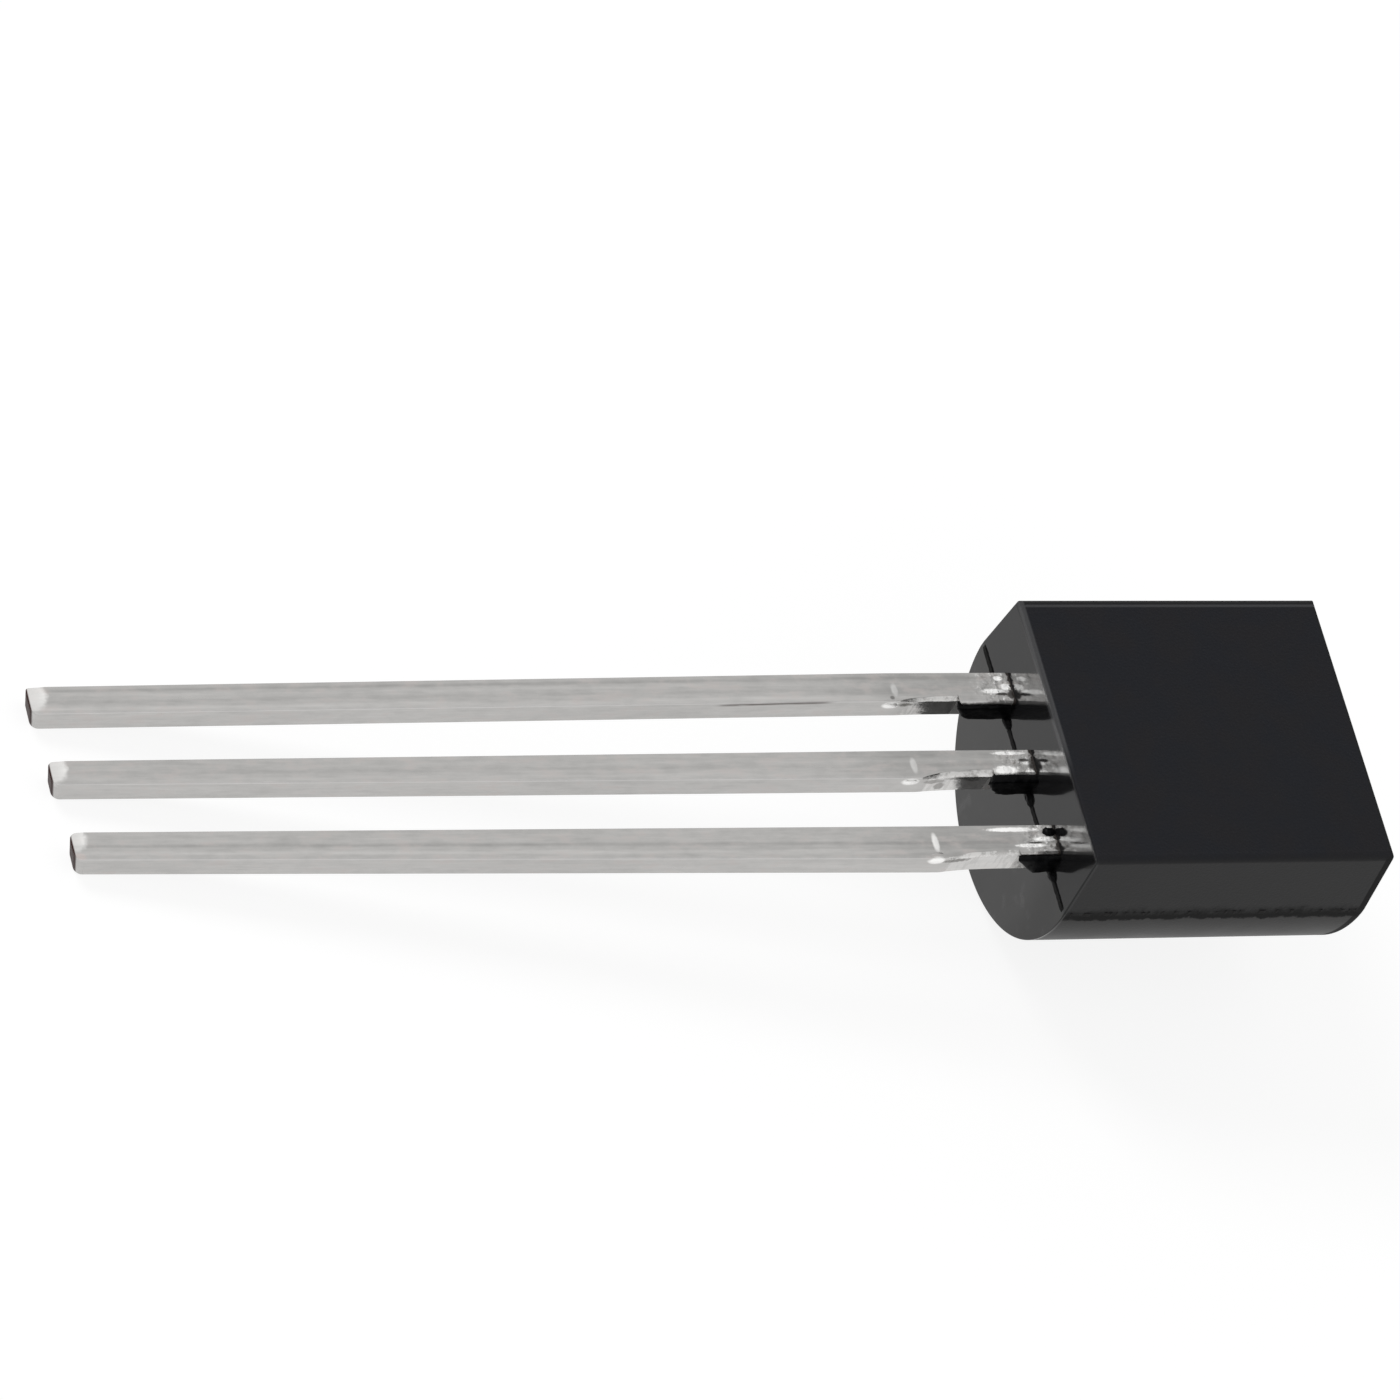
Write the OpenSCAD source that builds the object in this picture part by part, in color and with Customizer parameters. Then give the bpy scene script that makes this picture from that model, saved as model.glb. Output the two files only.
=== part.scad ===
// TO-92 transistor: a moulded D-shaped case on three flat leads.
//
// It lies as it comes to rest on a table: on its round back, flat face up,
// with the tips of the leads touching the table.
//
// Each piece is drawn in the case's own frame and then laid down by lying():
// X runs along the leads towards the far end of the case, from 0 at the end
// face that the leads leave; Y runs across the case; Z points out of the
// flat face, from 0 at the parting line of the mould.

/* [Moulded case] */
// Length of the case between its end faces, at the parting line
case_len = 4.61; // [4:0.01:6]
// Width of the case at the parting line, and the diameter of its round back
case_w = 4.44; // [4:0.01:5.5]
// Width of the flat face, corner to corner
flat_w = 4.25; // [3.6:0.01:4.4]
// Height of the flat face above the parting line
flat_rise = 1.2; // [1.1:0.01:1.6]
// Straight wall below the parting line, before the round back begins
back_straight = 0.02; // [0.02:0.01:0.4]
// Draft of the end faces, in degrees
end_draft = 2; // [1:0.5:6]
// Radius of the edges round the flat face
flat_edge_r = 0.11; // [0.05:0.01:0.25]
// Diameter of the ejector pin's mark in the round back
ejector_d = 1.2; // [0.8:0.1:1.6]
// Depth of the ejector pin's mark below the crown of the back
ejector_depth = 0.1; // [0.05:0.01:0.2]
// Width of the broken gate on the far end face
gate_w = 0.8; // [0.4:0.1:1.5]
// Height of the broken gate, half of it on each side of the parting line
gate_h = 0.24; // [0.1:0.02:0.5]
// How far the broken gate stands out of the far end face
gate_stand = 0.03; // [0.01:0.01:0.08]

/* [Leads] */
// Distance between neighbouring leads where they leave the case
lead_pitch = 1.25; // [1.2:0.01:1.4]
// How far the row of leads stands off the case's middle, on the collector's side
lead_row_off = 0.02; // [0:0.01:0.1]
// Width of the emitter lead at the far edge of the cut dam bar
emitter_lead_w = 0.445; // [0.42:0.005:0.55]
// Width of the base lead there
base_lead_w = 0.43; // [0.42:0.005:0.55]
// Width of the collector lead there
collector_lead_w = 0.505; // [0.42:0.005:0.55]
// Width of the emitter lead at its tip
emitter_tip_w = 0.41; // [0.35:0.005:0.5]
// Width of the base lead at its tip
base_tip_w = 0.355; // [0.35:0.005:0.5]
// Width of the collector lead at its tip
collector_tip_w = 0.41; // [0.35:0.005:0.5]
// Width of each lead between the cut dam bar and the case
neck_w = 0.4; // [0.36:0.005:0.42]
// Thickness of a lead, front to back
lead_t = 0.37; // [0.3:0.01:0.5]
// Length of the base lead outside the case
lead_len = 14.2; // [10:0.05:20]
// How much longer the emitter lead is than the base lead, and the base lead
// than the collector lead, where the leads were cut a little askew
cut_skew = 0.07; // [0:0.01:0.15]
// Angle by which the outer leads lean in towards the middle one, in degrees
lead_toe_in = 0.59; // [0:0.01:1.5]
// Angle by which all three leads lean towards the collector's side, in degrees
lead_sweep = 0.08; // [0:0.01:1]
// Distance from the case to the far edge of the cut dam bar, where the lean begins
dam_far = 1.87; // [1.5:0.01:2.5]
// Distance from the case to the near edge of the cut dam bar
dam_near = 0.72; // [0.5:0.01:1.2]
// How far the dam bar's cut bites into the collector's side of a lead, at its
// front edge
dam_bite = 0.09; // [0.01:0.005:0.12]
// How far it bites into the other side
dam_graze = 0.02; // [0.01:0.005:0.08]
// How much shorter a lead is at its back face, where the cut tip slants
tip_slant = 0.125; // [0.05:0.005:0.3]
// Length of the small facet that the cutter leaves on the corner of each tip
tip_facet_len = 0.26; // [0.1:0.01:0.4]
// Depth of that facet on the tip's cut face
tip_facet_depth = 0.05; // [0.03:0.01:0.2]

/* [Resin flash beside the leads] */
// How far the resin reaches along the collector's side of the emitter lead
emitter_flash_len = 0.84; // [0.3:0.01:1]
// How far it reaches along that side of the base lead
base_flash_len = 0.67; // [0.3:0.01:1]
// How far it reaches along that side of the collector lead
collector_flash_len = 0.61; // [0.3:0.01:1]
// How far it reaches along the other side of each lead
flash_back_len = 0.14; // [0.05:0.01:0.3]
// Thickness of the resin on the collector's side of each lead's neck
flash_t = 0.115; // [0.03:0.005:0.2]
// Thickness of the resin on the other side
flash_back_t = 0.05; // [0.03:0.01:0.1]
// Radius of the outer corners of the resin
flash_r = 0.13; // [0.05:0.01:0.15]

/* [Lead frame inside the case] */
// Distance from the end face to the base lead's head
base_head_at = 0.78; // [0.6:0.01:1]
// Length of the base lead's head
base_head_len = 0.58; // [0.3:0.01:0.7]
// Width of the base lead's head
base_head_w = 0.9; // [0.6:0.01:1]
// Distance from the end face to the emitter lead's head
emitter_head_at = 1.3; // [1:0.01:1.6]
// Length of the emitter lead's head
emitter_head_len = 0.8; // [0.4:0.01:1.2]
// Width of the emitter lead's head
emitter_head_w = 0.8; // [0.5:0.01:0.85]
// Distance from the end face to the flag that carries the die
flag_at = 1.85; // [1.7:0.01:2.2]
// Length of the flag
flag_len = 1.7; // [1.2:0.01:1.9]
// Width of the flag
flag_w = 1.8; // [1.2:0.01:1.9]
// Diameter of the hole in the flag that the resin grips
flag_hole_d = 0.36; // [0.2:0.01:0.45]
// Radius of the notches in the sides of each lead that the resin grips
grip_notch_r = 0.08; // [0.04:0.01:0.1]
// Distance from the end face to those notches
grip_notch_at = 0.42; // [0.2:0.01:0.5]

/* [Die and wires] */
// Side of the square silicon die
die_side = 0.46; // [0.3:0.01:0.6]
// Thickness of the die
die_t = 0.22; // [0.1:0.01:0.3]
// How far the die attach solder shows round the die
solder_margin = 0.05; // [0.02:0.01:0.1]
// Thickness of the die attach solder
solder_t = 0.03; // [0.01:0.005:0.05]
// Diameter of the bond wires
wire_d = 0.05; // [0.03:0.005:0.06]
// Height of each wire's loop above the die
wire_loop = 0.26; // [0.15:0.01:0.3]

/* [Hidden] */
$fn = 64;
eps = 0.01;
// How deep a fin or a scar on the case is rooted in it
root = 0.2;
// How far a cutting shape runs past what it cuts
clear = 1;

// Case
back_r = case_w / 2;
back_depth = back_straight + back_r;
side_draft = atan2((case_w - flat_w) / 2, flat_rise);
draft_slope = tan(end_draft);

// Leads 0 emitter, 1 base and 2 collector, from the +Y side to the -Y side
UPPER = 1;
LOWER = -1;
LEADS = [0:2];
lead_y = [lead_pitch, 0, -lead_pitch] - lead_row_off * [1, 1, 1];
lead_ws = [emitter_lead_w, base_lead_w, collector_lead_w];
tip_ws = [emitter_tip_w, base_tip_w, collector_tip_w];
lead_lens = [lead_len + cut_skew, lead_len, lead_len - cut_skew];
lead_lean = [-tan(lead_toe_in), 0, tan(lead_toe_in)] - tan(lead_sweep) * [1, 1, 1];
flash_lens = [emitter_flash_len, base_flash_len, collector_flash_len];
longest = lead_lens[0];
// Where the torn side of a dam bar's cut begins, as a share of the thickness
dam_tear = 0.35;
// How far the facet runs along the front edge, as a share of the lead's width
facet_run = 0.95;

// Lead frame heads
flag_y0 = neck_low(2);
flag_end = flag_at + flag_len;
emitter_head_y0 = neck_high(0) + grip_notch_r - emitter_head_w;
// Distance from the hole's centre to the flag's edges
hole_edge = flag_hole_d * 0.9;

// Die, solder and wires, seated one on another. The die sits in the middle of
// the flag's length, and this share of the way across it.
die_across = 0.62;
solder_z = lead_t;
die_z = solder_z + solder_t;
die_top = die_z + die_t;
die_x = flag_at + flag_len / 2;
die_y = flag_y0 + flag_w * die_across;
pad_offset = die_side / 5;
ball_r = wire_d * 0.95;
ball_h = wire_d * 0.6;
wire_r = wire_d / 2;
WIRE_SIDES = 8;
WIRE_RINGS = 14;

// Lying on the table: the case's round back touches at its near end, and the
// longest lead's slanted tip touches at its back edge, reach away.
contact_x = draft_slope * back_depth;
reach = contact_x + longest - tip_slant;
tilt = atan2(back_depth, reach);
lift = back_depth * cos(tilt) - contact_x * sin(tilt);
far_x = (case_len - draft_slope * back_depth) * cos(tilt) + back_depth * sin(tilt);
near_x = -longest * cos(tilt) - lead_t * sin(tilt);
centre_x = (far_x + near_x) / 2;

module lying() {
    translate([-centre_x, 0, lift])
        rotate([0, -tilt, 0])
            children();
}

// Extrudes an outline drawn in Y and Z along X
module along_x(x0, x1) {
    translate([x0, 0, 0])
        rotate([90, 0, 90])
            linear_extrude(x1 - x0)
                children();
}

// Extrudes an outline drawn in X and Z along Y
module along_y(y0, y1) {
    translate([0, y1, 0])
        rotate([90, 0, 0])
            linear_extrude(y1 - y0)
                children();
}

// ---- Moulded case ----

// A wall that leans in by lean degrees up to a top at height h, with its edge
// rounded to radius r. foot is the wall's place at height 0. Gives the centre
// of the edge's round.
function edge_centre(foot, h, lean, r) =
    [foot - h * tan(lean) - r * (1 - sin(lean)) / cos(lean), h - r];

// Section across the case: a D with a round back and drafted sides
module case_section() {
    c = edge_centre(case_w / 2, flat_rise, side_draft, flat_edge_r);
    shoulder = c + flat_edge_r * [cos(side_draft), sin(side_draft)];
    polygon([[-case_w / 2, -back_straight], [case_w / 2, -back_straight],
             [case_w / 2, 0], shoulder, [c[0], flat_rise],
             [-c[0], flat_rise], [-shoulder[0], shoulder[1]], [-case_w / 2, 0]]);
    for (side = [-1, 1])
        translate([side * c[0], c[1]])
            circle(flat_edge_r);
    translate([0, -back_straight])
        intersection() {
            circle(back_r);
            translate([-case_w, -case_w * 2])
                square([case_w * 2, case_w * 2]);
        }
}

// Outline from the side: both end faces lean in from the parting line
module case_profile() {
    c = edge_centre(case_len / 2, flat_rise, end_draft, flat_edge_r);
    shoulder = c + flat_edge_r * [cos(end_draft), sin(end_draft)];
    foot = case_len / 2;
    deep = back_depth + clear;
    translate([foot, 0]) {
        polygon([[-foot + deep * draft_slope, -deep], [foot - deep * draft_slope, -deep],
                 [foot, 0], shoulder, [c[0], flat_rise],
                 [-c[0], flat_rise], [-shoulder[0], shoulder[1]], [-foot, 0]]);
        for (end = [-1, 1])
            translate([end * c[0], c[1]])
                circle(flat_edge_r);
    }
}

// The mark of the pin that pushed the case out of the mould
module ejector_mark() {
    translate([case_len / 2, 0, -back_depth - clear])
        cylinder(d = ejector_d, h = clear + ejector_depth);
}

// The rough spot where the runner of resin was broken off
module gate_scar() {
    translate([case_len - root, -gate_w / 2, -gate_h / 2])
        cube([root + gate_stand, gate_w, gate_h]);
}

// Resin left between y0 and y1 on one side of a lead, with rounded outer corners
module flash(y0, y1, reach_out) {
    r = min(flash_r, reach_out);
    along_y(y0, y1) {
        translate([-reach_out + r, 0])
            square([reach_out - r + root, lead_t]);
        translate([-reach_out, r])
            square([r, lead_t - 2 * r]);
        for (z = [r, lead_t - r])
            translate([-reach_out + r, z])
                circle(r);
    }
}

module case_outside() {
    difference() {
        intersection() {
            along_x(-clear, case_len + clear) case_section();
            along_y(-case_w, case_w) case_profile();
        }
        ejector_mark();
    }
    gate_scar();
    for (i = LEADS) {
        flash(neck_low(i) - flash_t, neck_low(i), flash_lens[i]);
        flash(neck_high(i), neck_high(i) + flash_back_t, flash_back_len);
    }
}

module case() {
    color([0.16, 0.16, 0.17])
        lying()
            difference() {
                case_outside();
                for (i = LEADS) lead_solid(i);
                die_block();
                solder_block();
                base_wire_loop();
                emitter_wire_loop();
            }
}

// ---- Leads ----

// Sides of lead i's neck. The upper one is in line with the wider part.
function neck_high(i) = lead_y[i] + lead_ws[i] / 2;
function neck_low(i) = neck_high(i) - neck_w;

// How far the tip of lead i stands across from where the lead leaves the case
function tip_shift(i) = lead_lean[i] * (lead_lens[i] - dam_far);

// Outline of lead i outside the case. It is straight up to the dam bar's cut,
// and then it leans and narrows.
module lead_strip(i, inner_end) {
    end = -lead_lens[i];
    tip_y = lead_y[i] + tip_shift(i);
    wide_low = lead_y[i] - lead_ws[i] / 2;
    polygon([[inner_end, neck_low(i)], [inner_end, neck_high(i)],
             [-dam_far, neck_high(i)], [end, tip_y + tip_ws[i] / 2],
             [end, tip_y - tip_ws[i] / 2], [-dam_far, wide_low],
             [-dam_near, wide_low], [-dam_near, neck_low(i)]]);
}

// Seen from the side, the cut tip slants back from the lead's front edge
module lead_side(i, inner_end) {
    polygon([[inner_end, 0], [inner_end, lead_t],
             [-lead_lens[i], lead_t], [-lead_lens[i] + tip_slant, 0]]);
}

// Removes what lies outside the plane through three points
module cut_plane(a, b, c) {
    n = cross(b - a, c - a);
    translate(a)
        rotate([0, acos(n[2] / norm(n)), atan2(n[1], n[0])])
            translate([-clear, -clear, 0])
                cube([2 * clear, 2 * clear, clear]);
}

// The facet that the cutter leaves on the tip's front corner
module tip_facet(i) {
    upper = lead_y[i] + tip_shift(i) + tip_ws[i] / 2;
    slope = tip_slant / lead_t;
    cut_plane([-lead_lens[i] + tip_facet_len, upper, lead_t],
              [-lead_lens[i] + tip_facet_depth * slope, upper, lead_t - tip_facet_depth],
              [-lead_lens[i], upper - facet_run * tip_ws[i], lead_t]);
}

// The bite of the punch that sheared the dam bar, on the front edge of a side
module dam_cut(edge, side, bite) {
    along_x(-dam_far, -dam_near)
        polygon([[edge - side * bite, lead_t + eps], [edge + side * eps, lead_t + eps],
                 [edge + side * eps, lead_t * dam_tear]]);
}

// Half-round notches that lock a lead in the resin
module grip_notches(i) {
    for (y = [neck_low(i), neck_high(i)])
        translate([grip_notch_at, y, -clear])
            cylinder(r = grip_notch_r, h = 2 * clear, $fn = 32);
}

module base_head() {
    translate([base_head_at, lead_y[1] - base_head_w / 2])
        square([base_head_len, base_head_w]);
}

module emitter_head() {
    translate([emitter_head_at, emitter_head_y0])
        square([emitter_head_len, emitter_head_w]);
}

module collector_flag() {
    difference() {
        translate([flag_at, flag_y0])
            square([flag_len, flag_w]);
        translate([flag_end - hole_edge, flag_y0 + hole_edge])
            circle(d = flag_hole_d);
    }
}

// Lead i with its head inside the case
module lead_solid(i) {
    inner_end = [emitter_head_at, base_head_at, flag_at][i] + eps;
    difference() {
        union() {
            intersection() {
                linear_extrude(lead_t)
                    lead_strip(i, inner_end);
                along_y(-case_w, case_w)
                    lead_side(i, inner_end);
            }
            linear_extrude(lead_t) {
                if (i == 0) emitter_head();
                if (i == 1) base_head();
                if (i == 2) collector_flag();
            }
        }
        grip_notches(i);
        tip_facet(i);
        dam_cut(lead_y[i] + lead_ws[i] / 2, UPPER, dam_graze);
        dam_cut(lead_y[i] - lead_ws[i] / 2, LOWER, dam_bite);
    }
}

module emitter_lead() {
    color([0.68, 0.67, 0.65]) lying() lead_solid(0);
}

module base_lead() {
    color([0.68, 0.67, 0.65]) lying() lead_solid(1);
}

module collector_lead() {
    color([0.68, 0.67, 0.65]) lying() lead_solid(2);
}

// ---- Die and wires ----

module die_block() {
    translate([die_x - die_side / 2, die_y - die_side / 2, die_z])
        cube([die_side, die_side, die_t]);
}

module solder_block() {
    side = die_side + 2 * solder_margin;
    translate([die_x - side / 2, die_y - side / 2, solder_z])
        cube([side, side, solder_t]);
}

module silicon_die() {
    color([0.35, 0.36, 0.4]) lying() die_block();
}

module die_solder() {
    color([0.6, 0.6, 0.58]) lying() solder_block();
}

// A point and a heading on a cubic curve through four control points
function curve_at(p, t) =
    pow(1 - t, 3) * p[0] + 3 * pow(1 - t, 2) * t * p[1]
    + 3 * (1 - t) * t * t * p[2] + pow(t, 3) * p[3];
function heading_at(p, t) =
    let (d = pow(1 - t, 2) * (p[1] - p[0]) + 2 * (1 - t) * t * (p[2] - p[1])
             + t * t * (p[3] - p[2]))
    d / norm(d);

// One ring of a wire, round a centre and square to a heading. side_way is the
// level direction across the wire's loop.
function ring(centre, heading, side_way, r) =
    let (up_way = cross(heading, side_way))
    [for (k = [0:WIRE_SIDES - 1])
        centre + r * (cos(360 * k / WIRE_SIDES) * side_way
                      + sin(360 * k / WIRE_SIDES) * up_way)];

// A bond wire: a ball on the die, a loop, and a stitch pressed on a lead's head
module wire_loop(start, finish) {
    UP = [0, 0, 1];
    across = cross(UP, finish - start) / norm(cross(UP, finish - start));
    neck = start + ball_h * UP;
    rise = wire_loop - ball_h;
    p = [neck + 0.01 * UP, neck + 1.5 * rise * UP,
         finish + 0.35 * (start - finish) + (0.35 * (finish[2] - start[2]) + 1.1 * rise) * UP,
         finish + wire_r * UP];
    rings = concat(
        [ring(start, UP, across, ball_r), ring(neck, UP, across, ball_r)],
        [for (k = [0:WIRE_RINGS - 1])
            let (t = k / (WIRE_RINGS - 1))
            ring(curve_at(p, t), heading_at(p, t), across, wire_r)],
        [ring(finish, -UP, across, ball_r)]);
    n = WIRE_SIDES;
    last = len(rings) - 1;
    polyhedron(
        points = [for (one = rings) each one],
        faces = concat(
            [[for (k = [0:n - 1]) k]],
            [for (j = [0:last - 1], k = [0:n - 1])
                [j * n + (k + 1) % n, j * n + k, (j + 1) * n + k, (j + 1) * n + (k + 1) % n]],
            [[for (k = [n - 1:-1:0]) last * n + k]]));
}

module base_wire_loop() {
    wire_loop([die_x - pad_offset, die_y - pad_offset, die_top],
              [base_head_at + base_head_len / 2, lead_y[1] - base_head_w / 8, lead_t]);
}

module emitter_wire_loop() {
    wire_loop([die_x + pad_offset, die_y + pad_offset, die_top],
              [emitter_head_at + emitter_head_len / 2,
               emitter_head_y0 + emitter_head_w / 2, lead_t]);
}

module base_bond_wire() {
    color([0.85, 0.68, 0.3]) lying() base_wire_loop();
}

module emitter_bond_wire() {
    color([0.85, 0.68, 0.3]) lying() emitter_wire_loop();
}

case();
emitter_lead();
base_lead();
collector_lead();
silicon_die();
die_solder();
base_bond_wire();
emitter_bond_wire();
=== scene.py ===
import math

import bmesh
import bpy
from mathutils import Matrix, Vector


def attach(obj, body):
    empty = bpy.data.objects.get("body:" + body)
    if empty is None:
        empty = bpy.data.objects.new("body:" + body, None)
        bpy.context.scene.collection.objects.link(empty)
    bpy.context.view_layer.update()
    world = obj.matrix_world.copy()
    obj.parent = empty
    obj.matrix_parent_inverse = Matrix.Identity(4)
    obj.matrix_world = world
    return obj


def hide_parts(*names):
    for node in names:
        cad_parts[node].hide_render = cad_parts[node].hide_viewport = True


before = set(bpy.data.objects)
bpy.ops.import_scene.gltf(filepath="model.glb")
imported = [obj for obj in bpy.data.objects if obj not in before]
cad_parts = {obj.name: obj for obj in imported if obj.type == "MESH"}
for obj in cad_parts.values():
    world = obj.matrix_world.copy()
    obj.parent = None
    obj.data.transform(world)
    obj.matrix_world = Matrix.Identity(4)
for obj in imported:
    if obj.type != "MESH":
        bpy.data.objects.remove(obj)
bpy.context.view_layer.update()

# Sizes in millimetres, in the case's own frame: X runs along the leads from 0
# at the end face that they leave, Y across the case, Z out of the flat face
# from 0 at the parting line. They are the sizes of the part's source, apart
# from the necks, the fins beside them and the draft of the back half.
CASE_LEN, CASE_W, FLAT_W, FLAT_RISE = 4.61, 4.44, 4.25, 1.2
BACK_STRAIGHT, FLAT_EDGE_R = 0.02, 0.11
END_DRAFT, BACK_DRAFT = math.radians(2), math.radians(1.3)
EJECTOR_R, EJECTOR_DEPTH = 0.6, 0.1
GATE_W, GATE_H, GATE_STAND = 0.8, 0.24, 0.03
# The leads, from the +Y one to the -Y one
LEADS = ("emitter", "base", "collector")
LEAD_T = 0.37
LEAD_LENS = (14.27, 14.2, 14.13)
LEAD_Y = (1.23, -0.02, -1.27)
# Their widths from the case to the cut dam bar, at the tip and at the neck
LEAD_WS = (0.445, 0.43, 0.505)
TIP_WS = (0.41, 0.355, 0.41)
NECK_WS = (0.49, 0.395, 0.455)
# How far from the case the cut dam bars begin, and how far the tips' cuts slant
DAM_FAR, TIP_SLANT = 1.87, 0.125
# The outer leads lean inwards beyond the dam bar, and all three sweep to -Y
TOE_IN, SWEEP = math.tan(math.radians(0.59)), math.tan(math.radians(0.08))
LEAN = (-TOE_IN - SWEEP, -SWEEP, TOE_IN - SWEEP)
# The sides of each lead: high is +Y and low is -Y
HIGH = [y + w / 2 for y, w in zip(LEAD_Y, LEAD_WS)]
LOW = [y - w / 2 for y, w in zip(LEAD_Y, LEAD_WS)]
NECK_LOW = [y - w for y, w in zip(HIGH, NECK_WS)]
# The fins of resin on the high sides of the necks
FLASH_BACK_T, FLASH_BACK_LEN = 0.05, 0.14
# The notches inside the case
GRIP_AT, GRIP_R = 0.42, 0.08
# Each head inside the case: where it starts, its length, its low side, its width
HEADS = ((1.3, 0.8, HIGH[0] + GRIP_R - 0.8, 0.8),
         (0.78, 0.58, LEAD_Y[1] - 0.45, 0.9),
         (1.85, 1.7, NECK_LOW[2], 1.8))
FLAG_HOLE_R = 0.18

BACK_R = CASE_W / 2
BACK_DEPTH = BACK_STRAIGHT + BACK_R
SLOPE, BACK_SLOPE = math.tan(END_DRAFT), math.tan(BACK_DRAFT)
# It lies on its round back, at CONTACT_X, and on the tip of the longest lead
CONTACT_X = SLOPE * BACK_DEPTH
TILT = math.atan2(BACK_DEPTH, CONTACT_X + LEAD_LENS[0] - TIP_SLANT)
LIFT = BACK_DEPTH * math.cos(TILT) - CONTACT_X * math.sin(TILT)
FAR_X = (CASE_LEN - CONTACT_X) * math.cos(TILT) + BACK_DEPTH * math.sin(TILT)
NEAR_X = -LEAD_LENS[0] * math.cos(TILT) - LEAD_T * math.sin(TILT)
CENTRE_X = (FAR_X + NEAR_X) / 2
LYING = (Matrix.Scale(0.001, 4) @ Matrix.Translation((-CENTRE_X, 0, LIFT))
         @ Matrix.Rotation(-TILT, 4, "Y"))


# ---- Modelling by hand ----

def lone(obj):
    """Makes one object the only selected one, and active."""
    if bpy.context.mode != "OBJECT":
        bpy.ops.object.mode_set(mode="OBJECT")
    bpy.ops.object.select_all(action="DESELECT")
    obj.select_set(True)
    bpy.context.view_layer.objects.active = obj


def edit(obj):
    lone(obj)
    bpy.ops.object.mode_set(mode="EDIT")
    return obj


def leave(obj):
    bpy.ops.object.mode_set(mode="OBJECT")
    return obj


def primitive(name, make, **how):
    """Adds a primitive under a name, with its place applied."""
    if bpy.context.mode != "OBJECT":
        bpy.ops.object.mode_set(mode="OBJECT")
    bpy.ops.object.select_all(action="DESELECT")
    make(**how)
    obj = bpy.context.active_object
    obj.name = obj.data.name = name
    bpy.ops.object.transform_apply(location=True, rotation=True, scale=True)
    return obj


def sized(obj, middle, size):
    """Resizes a whole primitive about its middle."""
    edit(obj)
    bpy.ops.mesh.select_all(action="SELECT")
    bpy.ops.transform.resize(value=size, center_override=middle)
    return leave(obj)


def block(name, lo, hi):
    """A block between two corners, to start a piece from."""
    middle = [(a + b) / 2 for a, b in zip(lo, hi)]
    return sized(primitive(name, bpy.ops.mesh.primitive_cube_add, size=1, location=middle),
                 middle, [b - a for a, b in zip(lo, hi)])


def bead(name, middle, radii):
    """A small rounded lump."""
    return sized(primitive(name, bpy.ops.mesh.primitive_uv_sphere_add, segments=24,
                           ring_count=12, radius=1, location=middle), middle, radii)


def pick(obj, kind, test):
    """Selects only the verts, edges or faces that pass a test."""
    modes = {"verts": "VERT", "edges": "EDGE", "faces": "FACE"}
    bpy.ops.mesh.select_mode(type=modes[kind])
    bpy.ops.mesh.select_all(action="DESELECT")
    mesh = bmesh.from_edit_mesh(obj.data)
    mesh.normal_update()
    hits = [one for one in getattr(mesh, kind) if test(one)]
    for one in hits:
        one.select_set(True)
    mesh.select_flush_mode()
    bmesh.update_edit_mesh(obj.data)


def straight_along(edge, axis):
    """True for an edge that runs along X (0), Y (1) or Z (2)."""
    run = edge.verts[1].co - edge.verts[0].co
    return run.length > 1e-6 and abs(run[axis]) > 0.999 * run.length


def nudge(obj, test, by):
    """Moves the vertices that pass a test."""
    pick(obj, "verts", test)
    bpy.ops.transform.translate(value=by)


def roughen(obj, test, offset, seed, uniform=1.0):
    """Moves the vertices that pass a test at random."""
    pick(obj, "verts", test)
    bpy.ops.transform.vertex_random(offset=offset, uniform=uniform, normal=0.0, seed=seed)


def saw(point, normal, keep_both=False):
    """Cuts the whole open mesh with a plane, and closes the cut."""
    bpy.ops.mesh.select_all(action="SELECT")
    bpy.ops.mesh.bisect(plane_co=point, plane_no=normal, use_fill=not keep_both,
                        clear_outer=not keep_both, threshold=1e-5)


def score(axis, places):
    """Cuts lines round the whole open mesh, square to X (0) or Z (2), and keeps all of it."""
    square = Vector([float(i == axis) for i in range(3)])
    for place in places:
        saw(square * place, square, keep_both=True)


def modify(obj, kind, **how):
    """Adds a modifier with its settings and applies it."""
    lone(obj)
    mod = obj.modifiers.new(kind.lower(), kind)
    for key, value in how.items():
        setattr(mod, key, value)
    bpy.ops.object.modifier_apply(modifier=mod.name)
    return obj


def soften_edges(obj, angle=35):
    """Rounds the edges that are sharper than an angle by a hair."""
    return modify(obj, "BEVEL", width=0.012, segments=2, limit_method="ANGLE",
                  angle_limit=math.radians(angle), offset_type="OFFSET")


def clean(obj):
    """Joins what touches, drops what has no size and turns the faces outwards."""
    edit(obj)
    bpy.ops.mesh.select_all(action="SELECT")
    bpy.ops.mesh.remove_doubles(threshold=2e-5)
    bpy.ops.mesh.dissolve_degenerate(threshold=2e-5)
    bpy.ops.mesh.select_all(action="SELECT")
    bpy.ops.mesh.normals_make_consistent(inside=False)
    if bmesh.from_edit_mesh(obj.data).calc_volume(signed=True) < 0:
        bpy.ops.mesh.flip_normals()
    return leave(obj)


def carve(obj, tool, how="DIFFERENCE"):
    """Cuts a tool out of a piece, or joins it on, and throws the tool away."""
    clean(obj)
    modify(obj, "BOOLEAN", object=tool, operation=how, solver="EXACT")
    bpy.data.objects.remove(tool)


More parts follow.
